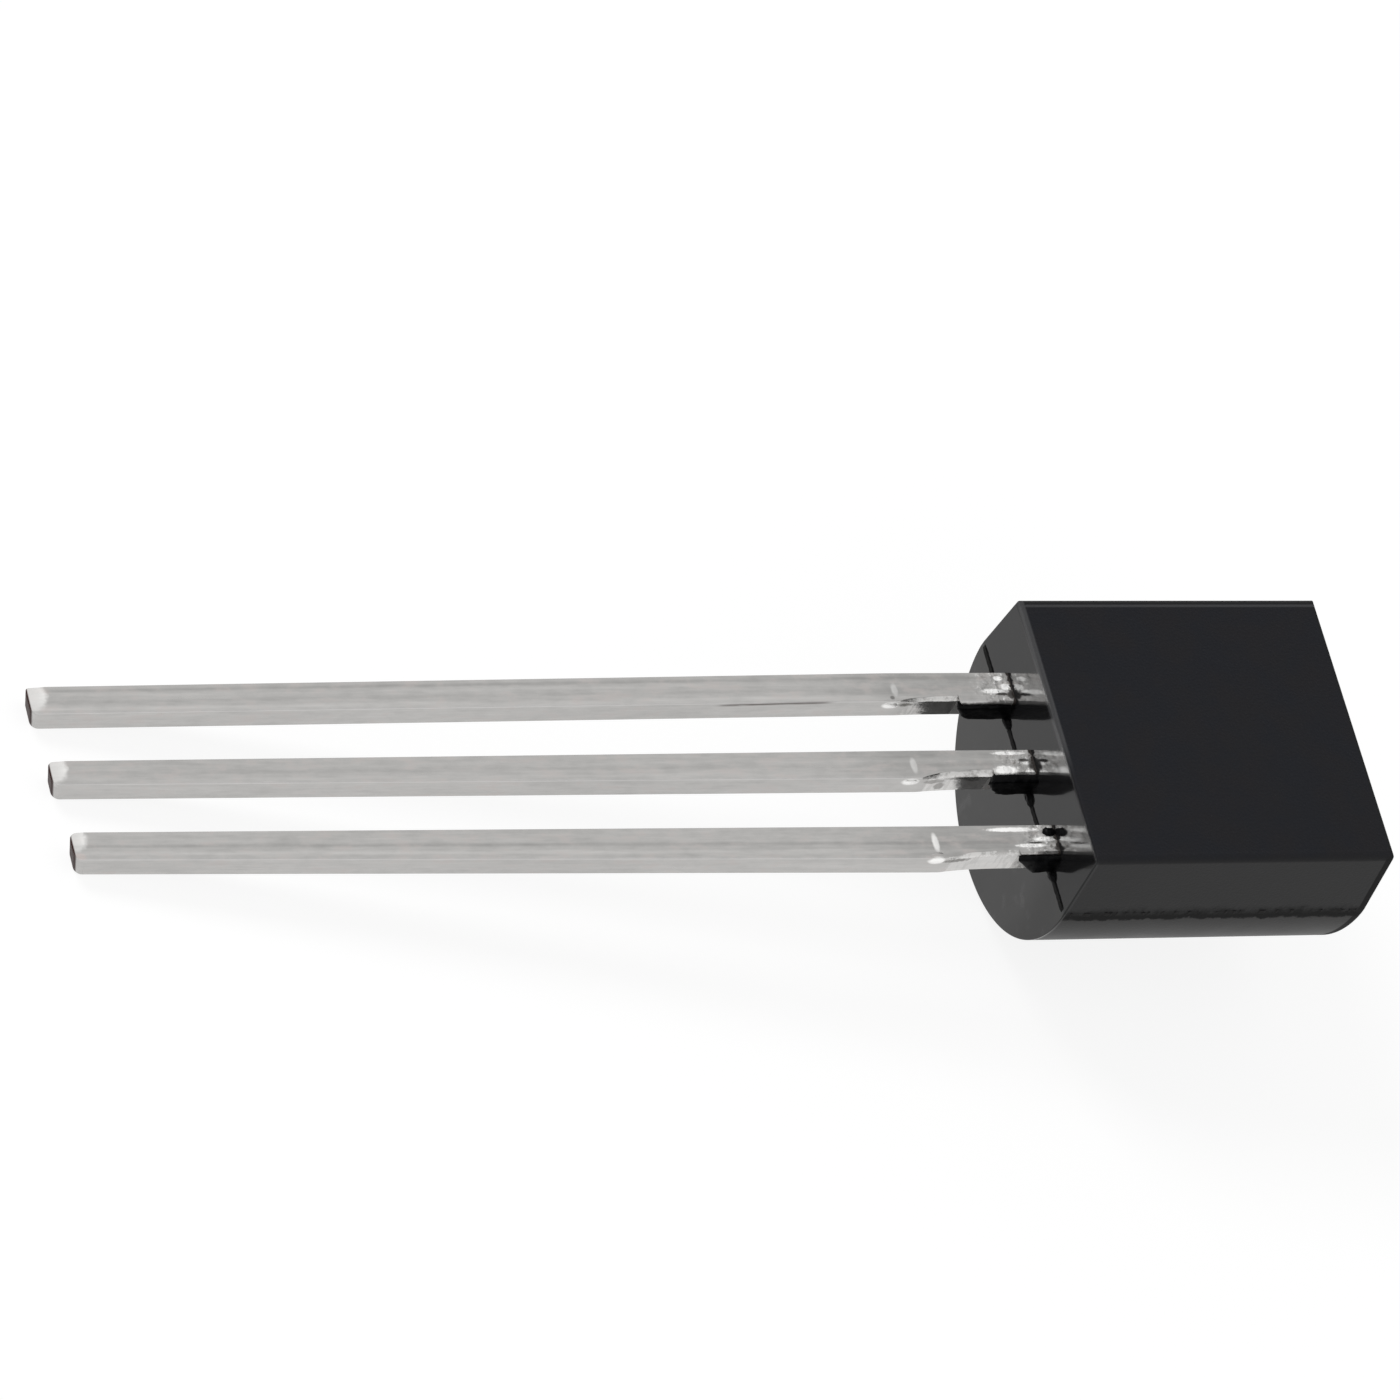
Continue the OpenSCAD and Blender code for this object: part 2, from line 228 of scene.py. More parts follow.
def lay_down(obj, node, angle=30):
    """Lays a finished piece on the table, in metres, in the place of its node."""
    clean(obj)
    lone(obj)
    bpy.ops.object.shade_smooth_by_angle(angle=math.radians(angle), keep_sharp_edges=True)
    modify(obj, "WEIGHTED_NORMAL", keep_sharp=True, weight=100)
    obj.matrix_world = LYING
    bpy.ops.object.transform_apply(location=True, rotation=True, scale=True)
    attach(obj, "root")
    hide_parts(node)


# ---- Shader nodes ----

class Value:
    """A number or a vector out of a node. Arithmetic on it adds Math nodes."""

    def __init__(self, finish, socket):
        self.finish, self.socket = finish, socket

    def math(self, operation, *others, clamp=False):
        return self.finish.node("ShaderNodeMath", {"operation": operation, "use_clamp": clamp},
                                self, *others)

    def flipped(self, operation, other):
        return self.finish.node("ShaderNodeMath", {"operation": operation}, other, self)

    def __add__(self, other): return self.math("ADD", other)
    def __radd__(self, other): return self.flipped("ADD", other)
    def __sub__(self, other): return self.math("SUBTRACT", other)
    def __rsub__(self, other): return self.flipped("SUBTRACT", other)
    def __mul__(self, other): return self.math("MULTIPLY", other)
    def __rmul__(self, other): return self.flipped("MULTIPLY", other)
    def __truediv__(self, other): return self.math("DIVIDE", other)
    def __rtruediv__(self, other): return self.flipped("DIVIDE", other)
    def __abs__(self): return self.math("ABSOLUTE")

    def either(self, other):
        """The larger of two masks."""
        return self.math("MAXIMUM", other)

    def over(self, lo, hi):
        """0 below lo, 1 above hi and smooth between them."""
        return self.finish.node("ShaderNodeMapRange", {"interpolation_type": "SMOOTHSTEP"},
                                self, lo, hi, 0.0, 1.0)

    def under(self, lo, hi):
        """1 below lo, 0 above hi."""
        return 1 - self.over(lo, hi)

    def within(self, lo, hi, soft):
        """1 between lo and hi, with soft ends."""
        return self.over(lo - soft, lo + soft) * self.under(hi - soft, hi + soft)


class Finish:
    """A material, or the world, drawn in the case's own frame."""

    def __init__(self, name, world=None):
        self.material = world or bpy.data.materials.new(name)
        self.material.use_nodes = True
        self.tree = self.material.node_tree
        self.tree.nodes.clear()

    def node(self, kind, settings=None, *inputs, out=0, **named):
        """Adds a node: its settings first, then the values or links of its sockets."""
        made = self.tree.nodes.new(kind)
        for key, value in (settings or {}).items():
            setattr(made, key, value)
        pairs = list(zip(made.inputs, inputs))
        pairs += [(made.inputs[key.replace("_", " ")], value) for key, value in named.items()]
        for socket, value in pairs:
            if isinstance(value, Value):
                self.tree.links.new(value.socket, socket)
            elif value is not None:
                socket.default_value = (*value, 1.0) if socket.type == "RGBA" else value
        return Value(self, made.outputs[out]) if made.outputs else None

    def place(self):
        """The point's place in the case's own frame, in millimetres."""
        point = self.node("ShaderNodeTexCoord", out="Object")
        home = Matrix.Rotation(TILT, 4, "Y") @ Vector((CENTRE_X, 0, -LIFT))
        return self.node("ShaderNodeMapping", None, point, home, (0, TILT, 0), (1000, 1000, 1000))

    def split(self, vector):
        made = self.node("ShaderNodeSeparateXYZ", None, vector).socket.node
        return [Value(self, socket) for socket in made.outputs]

    def stretch(self, vector, scale, shift):
        return self.node("ShaderNodeMapping", None, vector, shift, (0, 0, 0), scale)

    def noise(self, vector, scale, detail, roughness):
        return self.node("ShaderNodeTexNoise", None, vector, None, scale, detail, roughness)

    def tint(self, factor, a, b):
        """A colour between a and b."""
        return self.node("ShaderNodeMix", {"data_type": "RGBA"}, factor, None, None, None,
                         None, None, a, b, out=2)

    def between(self, factor, a, b):
        """A number between a and b."""
        return self.node("ShaderNodeMix", {"data_type": "FLOAT"}, factor, None, a, b)

    def bump(self, height, distance):
        return self.node("ShaderNodeBump", None, Strength=1.0, Distance=distance, Height=height)

    def seen(self):
        """1 for what is looked at directly, in a reflection or through glass."""
        total = self.node("ShaderNodeLightPath", out="Is Camera Ray")
        for name in ("Is Glossy Ray", "Is Transmission Ray"):
            total = total.math("ADD", self.node("ShaderNodeLightPath", out=name), clamp=True)
        return total

    def shader(self, **named):
        surface = self.node("ShaderNodeBsdfPrincipled", None, **named)
        self.node("ShaderNodeOutputMaterial", None, surface)
        return self.material


def dress(obj, material):
    obj.data.materials.clear()
    obj.data.materials.append(material)


# ---- Camera ----

camera = bpy.data.objects.new("camera", bpy.data.cameras.new("camera"))
bpy.context.scene.collection.objects.link(camera)
camera.data.sensor_width = 36
camera.data.lens = 231.3
camera.data.clip_start = 0.01
# Its place, and which way its right side, its top and its back face
camera.matrix_world = Matrix.Translation((-0.063555, -0.059358, 0.085097)) @ Matrix((
    (0.847052, -0.230288, 0.479031),
    (-0.080692, 0.8351, 0.544148),
    (-0.525349, -0.499576, 0.68879))).transposed().to_4x4()
bpy.context.scene.camera = camera


# ---- Case ----

def at_end(v):
    """On either end face."""
    lean = max(v.co.z * SLOPE, -v.co.z * BACK_SLOPE)
    return min(abs(v.co.x - lean), abs(CASE_LEN - v.co.x - lean)) < 1e-3


def case_body():
    """The moulding: a round back, drafted sides and end faces, and a flat face."""
    body = primitive("moulded_case", bpy.ops.mesh.primitive_cylinder_add, vertices=160,
                     radius=BACK_R, depth=CASE_LEN + 2, end_fill_type="NGON",
                     location=(CASE_LEN / 2, 0, -BACK_STRAIGHT), rotation=(0, math.pi / 2, 0))
    edit(body)
    saw((0, 0, -BACK_STRAIGHT), (0, 0, 1))
    pick(body, "faces", lambda f: f.normal.z > 0.9
         and abs(f.calc_center_median().z + BACK_STRAIGHT) < 1e-3)
    for rise in (BACK_STRAIGHT, FLAT_RISE):
        bpy.ops.mesh.extrude_region_move(TRANSFORM_OT_translate={"value": (0, 0, rise)})
    bpy.ops.transform.resize(value=(1, FLAT_W / CASE_W, 1),
                             center_override=(CASE_LEN / 2, 0, FLAT_RISE))
    for end, x in ((-1, 0), (1, CASE_LEN)):
        for lean in (-BACK_SLOPE, SLOPE):
            saw((x, 0, 0), (end, 0, lean))
    # The mould's halves meet in a crease on each end face
    pick(body, "edges", lambda e: all(abs(v.co.z) < 1e-4 and at_end(v) for v in e.verts))
    bpy.ops.mesh.mark_sharp()
    # Shares of one round: all of it along the flat face, a third of it across
    # its ends, less at the upright corners and a hair round the back
    for axis, share in ((0, 1.0), (1, 0.34)):
        pick(body, "edges", lambda e: all(v.co.z > FLAT_RISE - 1e-3 for v in e.verts)
             and straight_along(e, axis))
        bpy.ops.transform.edge_bevelweight(value=share)
    pick(body, "edges", lambda e: all(at_end(v) and v.co.z > -1e-3 for v in e.verts)
         and abs(e.verts[0].co.z - e.verts[1].co.z) > 0.5)
    bpy.ops.transform.edge_bevelweight(value=0.4)
    pick(body, "edges", lambda e: all(at_end(v) and v.co.z < 1e-3 for v in e.verts)
         and e.calc_length() < 0.2)
    bpy.ops.transform.edge_bevelweight(value=0.1)
    leave(body)
    modify(body, "BEVEL", width=FLAT_EDGE_R * 0.94, segments=6, limit_method="WEIGHT",
           offset_type="OFFSET", use_clamp_overlap=False)
    # The flat face's near edge grows rounder towards its +Y end: how far the
    # round reaches there along the flat face and down the end face
    along, down = 0.08, 0.14
    edit(body)
    sharp = Vector((SLOPE * FLAT_RISE, -0.9, FLAT_RISE))
    for turn in (18, 45, 72):
        c, s = math.cos(math.radians(turn)), math.sin(math.radians(turn))
        worn = Vector((sharp.x + along * (1 - c), FLAT_W / 2, FLAT_RISE - down * (1 - s)))
        saw(sharp, Vector((along * s, 0, down * c)).cross(worn - sharp))
    return leave(body)


def ejector_mark():
    """The tool for the mark of the pin that pushed the case out of the mould."""
    pin = primitive("ejector_pin", bpy.ops.mesh.primitive_cylinder_add, vertices=64,
                    radius=EJECTOR_R, depth=2,
                    location=(CASE_LEN / 2, 0, -BACK_DEPTH - 1 + EJECTOR_DEPTH))
    edit(pin)
    pick(pin, "faces", lambda f: f.normal.z > 0.9)
    bpy.ops.mesh.inset(thickness=0.05, depth=0)
    bpy.ops.transform.translate(value=(0, 0, -0.015))
    return soften_edges(leave(pin))


def gate_scar():
    """The rough spot where the runner of resin was broken off."""
    scar = block("gate_scar", (CASE_LEN - 0.2, -GATE_W / 2, -GATE_H / 2),
                 (CASE_LEN + GATE_STAND * 0.6, GATE_W / 2, GATE_H / 2))
    edit(scar)
    pick(scar, "faces", lambda f: f.normal.x > 0.9)
    bpy.ops.mesh.subdivide(number_cuts=12)
    roughen(scar, lambda v: v.co.x > CASE_LEN and abs(v.co.y) < GATE_W / 2 - 0.01
            and abs(v.co.z) < GATE_H / 2 - 0.01, 0.02, 4)
    return leave(scar)


case = case_body()
carve(case, ejector_mark())
carve(case, gate_scar(), "UNION")
lay_down(case, "case")


def parting_flash():
    """The thin ragged lip of resin along the parting line of the mould."""
    # How far it stands out of the end faces, and how far the sides hide it
    stand, sunk = 0.014, 0.002
    lip = primitive("parting_flash", bpy.ops.mesh.primitive_plane_add, size=1,
                    location=(CASE_LEN / 2, 0, -0.015))
    edit(lip)
    bpy.ops.mesh.select_all(action="SELECT")
    bpy.ops.transform.resize(value=(CASE_LEN + 2 * stand, CASE_W - 2 * sunk, 1),
                             center_override=(CASE_LEN / 2, 0, 0))
    bpy.ops.mesh.bevel(offset=0.12, segments=4, affect="VERTICES")
    bpy.ops.mesh.select_all(action="SELECT")
    bpy.ops.mesh.inset(thickness=0.15, depth=0)
    bpy.ops.mesh.delete(type="ONLY_FACE")
    pick(lip, "edges", lambda e: e.calc_length() > 1)
    bpy.ops.mesh.subdivide(number_cuts=150)

    def on_rim(v):
        return (min(abs(v.co.x + stand), abs(v.co.x - CASE_LEN - stand)) < 1e-3
                or abs(abs(v.co.y) - CASE_W / 2 + sunk) < 1e-3)
    # It is finest on the end face that the leads leave
    for ragged, fine in ((0.01, False), (0.004, True)):
        roughen(lip, lambda v: on_rim(v) and (v.co.x < 0.05) == fine, ragged, 5)
    leave(lip)
    modify(lip, "SOLIDIFY", thickness=0.075, offset=0.0)
    return soften_edges(lip, 60)


lip = parting_flash()
lay_down(lip, "case", 20)


def melt(obj, raggedness, seed, softness=8):
    """Melts a shape into a soft ragged lump of resin."""
    modify(obj, "REMESH", mode="VOXEL", voxel_size=0.014)
    edit(obj)
    roughen(obj, lambda v: True, raggedness, seed)
    leave(obj)
    return modify(obj, "SMOOTH", factor=0.5, iterations=softness)


def fin(name, reach, low, high, z_top, round_top, round_low, slant=0.0, sweep=0.0):
    """Resin on one side of a lead's neck, with rounded outer corners.

    Its outer end leans back by slant at the bottom and by sweep beside the neck.
    """
    one = block(name, (-reach, low, 0.004), (0.1, high, z_top))
    edit(one)
    nudge(one, lambda v: v.co.x < 0 and v.co.z < 0.1, (slant, 0, 0))
    for radius, upper in ((round_top, True), (round_low, False)):
        pick(one, "edges", lambda e: straight_along(e, 1) and e.verts[0].co.x < 0
             and (e.verts[0].co.z > z_top / 2) == upper and e.calc_length() > 0.01)
        bpy.ops.mesh.bevel(offset=radius, segments=6, affect="EDGES")
    nudge(one, lambda v: v.co.x < 0 and v.co.y > (low + high) / 2, (sweep, 0, 0))
    score(0, [-reach * share for share in (0.15, 0.3, 0.45, 0.6)])
    score(2, [z_top / 2])
    roughen(one, lambda v: v.co.x < 0.05 and v.co.y < (low + high) / 2, 0.012, len(name))
    return melt(leave(one), 0.004, len(name), 24)


# The fin on the low side of each neck: its reach out of the case, its
# thickness, how far it goes in under the neck, how far its top lies below the
# leads' front, and its rounds, slant and sweep
LOW_FINS = ((0.89, 0.05, 0.06, 0.06, 0.04, 0.1, 0.22, 0.03),
            (0.8, 0.112, 0.04, 0.02, 0.12, 0.1, 0.28, 0.1),
            (0.67, 0.09, 0.03, 0.04, 0.05, 0.06, 0.34, 0.05))
# How far the web of resin under each of them spreads along the end face
WEB_REACH = (0.17, 0.2, 0.16)

resin_bits = []
for i, (reach, thick, under, drop, *form) in enumerate(LOW_FINS):
    resin_bits.append(fin(LEADS[i] + "_fin", reach, NECK_LOW[i] - thick, NECK_LOW[i] + under,
                          LEAD_T - drop, *form))
for name, high in zip(LEADS, HIGH):
    resin_bits.append(fin(name + "_back_fin", FLASH_BACK_LEN, high - 0.01,
                          high + FLASH_BACK_T, LEAD_T - 0.06, 0.06, 0.06))
crumb = bead("collector_crumb", (-0.08, HIGH[2] - 0.115, LEAD_T), (0.105, 0.075, 0.045))
resin_bits.append(melt(crumb, 0.02, 3))
for i, reach in enumerate(WEB_REACH):
    web = bead(LEADS[i] + "_web", (0.005, NECK_LOW[i] - LOW_FINS[i][1], -0.005),
               (0.07, reach, 0.08))
    resin_bits.append(melt(web, 0.015, i))
for piece in resin_bits:
    lay_down(piece, "case")


# ---- Leads ----

# The cut tip: the round of its upper corner, and the hollow that the cutter
# pinched beside it: its radius, its depth and how far in its middle lies
TIP_ROUNDS = (0.05, 0.08, 0.1)
TIP_HOLLOWS = ((0.3, 0.03, 0.13), (0.27, 0.027, 0.11), (0.21, 0.021, 0.07))
# The bite of the punch that sheared each dam bar off: how far it reaches in
# from the low side on the front, how deep it goes, how far the sheared side
# below it slopes in towards the neck, and how ragged it is
BITES = ((0.07, 0.045, 0.015, 0.004), (0.085, 0.055, 0.035, 0.009), (0.06, 0.05, 0.05, 0.01))
# The bite grows towards the neck: the share of it that comes past each place
GROWTH = ((-1.65, 0.3), (-1.5, 0.25), (-1.35, 0.2), (-1.2, 0.1), (-1.05, 0.1), (-0.9, 0.05))
# The mark that its corner pressed across the front: its place, middle and half
# length; and the burr that it raised on the low side: its place, how far below
# the front it lies and its half height
PRESSED = ((-1.78, -0.22, 0.085), (-1.815, -0.1, 0.1), (-1.822, -0.03, 0.12))
BURRS = ((-1.84, 0.12, 0.065), (-1.875, 0.11, 0.065), (-1.84, 0.075, 0.065))
# How far out of the case each neck reaches
NECK_LENS = (0.84, 0.64, 0.6)


def dam_punch(i):
    """The tool for the bite."""
    low, (reach, deep, slope, ragged) = LOW[i], BITES[i]
    tool = block("dam_punch", (-1.72, low - 0.3, -0.1), (-0.3, low + 1e-4, LEAD_T + 0.2))
    edit(tool)
    score(0, (-1.6, -1.45, -1.3, -1.15, -1.0, -0.85))
    score(2, (LEAD_T, LEAD_T - deep / 2, LEAD_T - deep))
    # Its whole face slopes in, and its upper edge hangs over that in two steps
    for past, share in GROWTH:
        for above, by in ((-1, slope * share),
                          (LEAD_T - deep / 2 - 1e-3, reach * share * 0.6),
                          (LEAD_T - 1e-3, reach * share * 0.4)):
            nudge(tool, lambda v: v.co.x > past and v.co.y > low - 0.1 and v.co.z > above,
                  (0, by, 0))
    roughen(tool, lambda v: v.co.x > -1.65 and v.co.y > low - 0.1
            and LEAD_T - deep - 0.01 < v.co.z < LEAD_T + 0.1, ragged, 21 + i, 0.5)
    return leave(tool)


def stamped_strip(i):
    """A lead as it was stamped and cut off, up to its head in the case."""
    length, y, spare = LEAD_LENS[i], LEAD_Y[i], 0.5
    strip = block(LEADS[i] + "_strip", (-length - spare, LOW[i], 0),
                  (HEADS[i][0] + 0.01, HIGH[i], LEAD_T))
    edit(strip)
    score(0, [-DAM_FAR])
    # It leans and narrows towards the tip
    grow = (length + spare - DAM_FAR) / (length - DAM_FAR)
    narrow = (LEAD_WS[i] - TIP_WS[i]) / 2
    lean = LEAN[i] * (length - DAM_FAR)
    nudge(strip, lambda v: v.co.x < -length and v.co.y > y, (0, (lean - narrow) * grow, 0))
    nudge(strip, lambda v: v.co.x < -length and v.co.y < y, (0, (lean + narrow) * grow, 0))
    saw((-length - 0.02, 0, LEAD_T), (-LEAD_T, 0, -TIP_SLANT + 0.02))
    # The cut tip's corners and the long edges are rounded by the tin
    for radius, upper in ((0.11, False), (TIP_ROUNDS[i], True)):
        pick(strip, "edges", lambda e: all(v.co.x < -length + 0.3 for v in e.verts)
             and abs(e.verts[0].co.z - e.verts[1].co.z) > 0.3
             and (e.verts[0].co.y > y + lean) == upper)
        bpy.ops.mesh.bevel(offset=radius, segments=5, affect="EDGES")
    pick(strip, "edges", lambda e: straight_along(e, 0) and e.calc_length() > 0.1
         and all(min(abs(v.co.z), abs(v.co.z - LEAD_T)) < 1e-4 for v in e.verts)
         and len(e.link_faces) == 2 and e.calc_face_angle() > 1)
    bpy.ops.mesh.bevel(offset=0.03, segments=4, affect="EDGES", clamp_overlap=True)
    leave(strip)
    wide, deep, inside = TIP_HOLLOWS[i]
    ball = (wide ** 2 + deep ** 2) / (2 * deep)
    carve(strip, primitive("tip_hollow", bpy.ops.mesh.primitive_uv_sphere_add, segments=160,
                           ring_count=80, radius=ball, rotation=(math.pi / 2, 0, 0),
                           location=(-length - 0.01, y + lean + TIP_WS[i] / 2 - inside,
                                     LEAD_T + ball - deep)))
    return strip


def mark_dam(lead, i):
    """The bite, the pressed mark and the burr where the dam bar was sheared off."""
    carve(lead, dam_punch(i))
    x, across, half = PRESSED[i]
    carve(lead, bead("pressed_mark", (x, LEAD_Y[i] + across * LEAD_WS[i] / 2, LEAD_T - 0.022),
                     (0.075, half * 1.5, 0.03)), "UNION")
    x, below, tall = BURRS[i]
    carve(lead, bead("burr", (x, LOW[i] + 0.05, LEAD_T - below), (0.18, 0.068, tall * 1.4)),
          "UNION")


def cut_neck(lead, i):
    """The neck: its low side is cut back, or filled out where it is wider than the lead."""
    start, head_at = -NECK_LENS[i], HEADS[i][0]
    carve(lead, block("neck_side", (start, LOW[i] - 0.2, -0.1),
                      (head_at + 0.1, NECK_LOW[i], LEAD_T + 0.1)))
    neck = edit(block("neck", (start, NECK_LOW[i], 0), (head_at + 0.01, HIGH[i] - 0.05, LEAD_T)))
    nudge(neck, lambda v: v.co.x < 0 and v.co.z < 0.1, (0.42, 0, 0))
    carve(lead, leave(neck), "UNION")
    edit(lead)
    pick(lead, "edges", lambda e: straight_along(e, 0) and e.calc_length() > 0.1
         and e.verts[0].co.z > LEAD_T - 0.001 and abs(e.verts[0].co.y - NECK_LOW[i]) < 1e-3)
    bpy.ops.mesh.bevel(offset=0.04, segments=4, affect="EDGES")
    leave(lead)


def add_head(lead, i):
    """The head inside the case, and the notches by which the resin grips the neck."""
    at, length, low, wide = HEADS[i]
    carve(lead, block("head", (at, low, 0), (at + length, low + wide, LEAD_T)), "UNION")
    for side in (NECK_LOW[i], HIGH[i]):
        carve(lead, primitive("notch", bpy.ops.mesh.primitive_cylinder_add, vertices=32,
                              radius=GRIP_R, depth=2, location=(GRIP_AT, side, 0)))
    if LEADS[i] == "collector":
        inset = 1.8 * FLAG_HOLE_R
        carve(lead, primitive("hole", bpy.ops.mesh.primitive_cylinder_add, vertices=48,
                              radius=FLAG_HOLE_R, depth=2,
                              location=(at + length - inset, low + inset, 0)))


leads = []
for i, name in enumerate(LEADS):
    lead = stamped_strip(i)
    mark_dam(lead, i)
    cut_neck(lead, i)
    add_head(lead, i)
    leads.append(lead)
for name, lead in zip(LEADS, leads):
    lay_down(lead, name + "_lead")


# ---- Finishes ----

def resin():
    """Black moulded resin: a matte flat face, polished end faces, satin sides."""
    f = Finish("moulded_resin")
    place = f.place()
    x, y, z = f.split(place)
    grain = f.noise(place, 26.0, 3.0, 0.6)
    cloud = f.noise(place, 1.6, 3.0, 0.55)
    ragged = f.noise(place, 7.0, 3.0, 0.7)
    specks = f.noise(place, 60.0, 1.0, 0.5).over(0.68, 0.78)

    # How far the end faces lean in at this height
    lean = (z * SLOPE).either(z * -BACK_SLOPE)
    ends = (x - lean).under(0.01, 0.05).either(
        (x + lean).over(CASE_LEN - 0.05, CASE_LEN - 0.01))
    flat = z.over(FLAT_RISE - 0.1, FLAT_RISE - 0.005)
    back = z.under(-0.06, 0.0)

    # The rounds of the flat face's +Y and far edges turn away from the light
    edge_y = y - (FLAT_W / 2 - 0.1)
    edge_x = x - (CASE_LEN - 0.05 - SLOPE * FLAT_RISE)
    turned = z.over(FLAT_RISE - 0.12, FLAT_RISE - 0.09) * (
        edge_y.over(-0.01, 0.02).either(edge_x.over(-0.01, 0.02)))
    # So does the far end's round, down the sides
    far_rim = (x + lean).within(CASE_LEN - 0.11, CASE_LEN - 0.008, 0.008) * (1 - flat)
    # Duller and darker along the parting line of the sides
    wavy = z + (ragged - 0.5) * 0.26
    seam = wavy.over(-0.2, -0.14) * wavy.under(-0.1, 0.17) * (1 - ends)

    # Painted highlights on the rounds: beside the +Y edge of the flat face, on its
    # near edge where that is worn round, and on its -Y edge; and paler patches low on the end
    # faces
    flat_edge_highlight = flat * edge_y.within(-0.05, -0.01, 0.012)
    near_edge_highlight = (z.over(FLAT_RISE - 0.15, FLAT_RISE - 0.08) * (x - lean).under(0.03, 0.06)
                * y.over(-0.8, -0.1))
    low_edge_highlight = z.over(FLAT_RISE - 0.12, FLAT_RISE - 0.04) * (
        y.under(-FLAT_W / 2 + 0.02, -FLAT_W / 2 + 0.14))
    low_end_patches = f.noise(place, 3.5, 3.0, 0.6).over(0.55, 0.7) * ends * z.under(-0.6, -0.3)
    highlights_and_patches = (flat_edge_highlight * 0.5).either(near_edge_highlight * 0.65).either(low_end_patches * 0.3).either(low_edge_highlight * 0.08)

    black = (0.0085, 0.0085, 0.009)
    dusty = f.tint(cloud.over(0.35, 0.65), (0.004, 0.0048, 0.0076), (0.006, 0.0058, 0.0075))
    colour = f.tint(flat, black, dusty)
    colour = f.tint(back * grain * 0.8, colour, (0.017, 0.0155, 0.0135))
    dark = (turned * 0.8).either(seam).either(far_rim * 0.7)
    colour = f.tint(dark, colour, (0.002, 0.002, 0.002))
    # Painted highlights on the edges, and the paler patches low on the end faces
    colour = f.tint(highlights_and_patches, colour, (0.08, 0.08, 0.083))
    colour = f.tint(specks * flat * 0.3, colour, (0.05, 0.05, 0.055))

    rough = f.between(ends, f.between(back, 0.34, 0.44), 0.11)
    rough = f.between(flat, rough, 0.62) + (cloud - 0.5) * 0.08
    rough = f.between(seam.either(far_rim * 0.8), rough, 0.75)

    # The polish of the end faces fades towards -Y and the -Y corner, whose
    # upright round catches the light
    low_end = y.under(-1.8, -1.2)
    corner = y.under(-1.7, -1.6) * z.over(-0.1, 0.1)
    polish = 0.176 - low_end * 0.12 - corner * 0.025 + (cloud - 0.5) * 0.05
    side_draft = 0.079  # inwards for each millimetre up
    turn = ((x - lean).within(0.005, 0.045, 0.01) * (0 - y + z * side_draft).over(2.15, 2.19)
            * z.over(0.0, 0.1))
    coat = f.between(ends, f.between(back, 0.022, 0.035), polish) + turn * 0.11
    coat = coat * (1 - flat) * (1 - turned * 0.9) * (1 - seam) * (1 - far_rim * 0.95)

    return f.shader(Base_Color=colour, Roughness=rough, Coat_Weight=coat, Coat_Roughness=0.05,
                    Specular_IOR_Level=0.15,
                    Normal=f.bump((grain - 0.5) * (flat * 0.8 + 0.2 - ends * 0.2), 0.00001))


def flash_resin():
    """The dull torn resin of the parting lip, darkest on the near end face."""
    f = Finish("flash_resin")
    place = f.place()
    grain = f.noise(place, 30.0, 3.0, 0.6)
    near = f.split(place)[0].under(0.02, 0.06)
    colour = f.tint(grain, (0.014, 0.014, 0.014), (0.028, 0.0275, 0.027))
    colour = f.tint(near * 0.7, colour, (0.003, 0.003, 0.003))
    return f.shader(Base_Color=colour, Roughness=0.75, Specular_IOR_Level=0.08,
                    Normal=f.bump(grain, 0.00001))


def fin_resin():
    """The black resin beside the necks."""
    f = Finish("fin_resin")
    grain = f.noise(f.place(), 12.0, 3.0, 0.6)
    return f.shader(Base_Color=f.tint(grain, (0.001, 0.001, 0.0013), (0.003, 0.003, 0.0035)),
                    Roughness=0.32, Specular_IOR_Level=0.06, Normal=f.bump(grain, 0.00001))


# Lines that the drawing of the strip left along each lead: their place across
# it, from 1 at its high side to -1 at its low side, their width, and how much
# darker or lighter they are
DRAWN = (((0.65, 0.2, -0.26), (0.28, 0.2, 0.08), (-0.18, 0.22, -0.1), (-0.75, 0.3, 0.2)),
         ((0.62, 0.2, -0.06), (0.3, 0.2, 0.03), (-0.08, 0.25, -0.1), (-0.7, 0.3, 0.08)),
         ((0.35, 0.25, 0.05), (-0.06, 0.2, -0.24), (-0.58, 0.25, 0.2), (-0.98, 0.12, -0.1)))
# Painted highlights as spots on the front near the case, and brown spots of
# resin there: place along and across the lead, and half lengths
PAINTED_GLINTS = (((-0.086, -0.05, 0.1, 0.26), (-0.169, 0.57, 0.08, 0.2), (-0.3, -0.35, 0.2, 0.2)),
        ((-0.345, 0.75, 0.27, 0.16), (-0.097, 0.08, 0.08, 0.26), (-0.081, -0.68, 0.09, 0.24),
         (-0.45, -0.51, 0.2, 0.36)),
        ((-0.62, 0.72, 0.44, 0.16), (-0.19, 0.1, 0.2, 0.16), (-0.4, -0.3, 0.25, 0.14)))
BROWN = (((-0.17, -0.57, 0.1, 0.12), (-0.03, -0.6, 0.06, 0.35)),
         ((-0.13, 0.22, 0.1, 0.14), (-0.03, -0.1, 0.07, 0.5)),
         ((0.0, -0.48, 0.07, 0.2), (-0.33, -0.12, 0.12, 0.07)))
# Dark torn spots on the sheared side of each lead: place along and above the
# back, and half lengths; and how dark they are
TORN = (((-1.62, 0.26, 0.12, 0.045),),
        ((-1.51, 0.24, 0.17, 0.06), (-1.39, 0.12, 0.09, 0.09), (-1.08, 0.29, 0.28, 0.04),
         (-0.93, 0.27, 0.14, 0.07)),
        ((-1.54, 0.27, 0.22, 0.05),))
TORN_DARK = (0.9, 0.6, 0.8)
# The sheared side up to the neck: where it ends, how bright it is and how dark
# the painted reflection of the black case is in its scores
SHEARED = ((-0.86, 0.0, 0.4), (-0.7, 0.35, 0.2), (-0.62, 0.25, 0.2))
# How bright the painted highlight on the pressed mark is
PRESSED_HIGHLIGHT = (0.25, 0.3, 0.65)
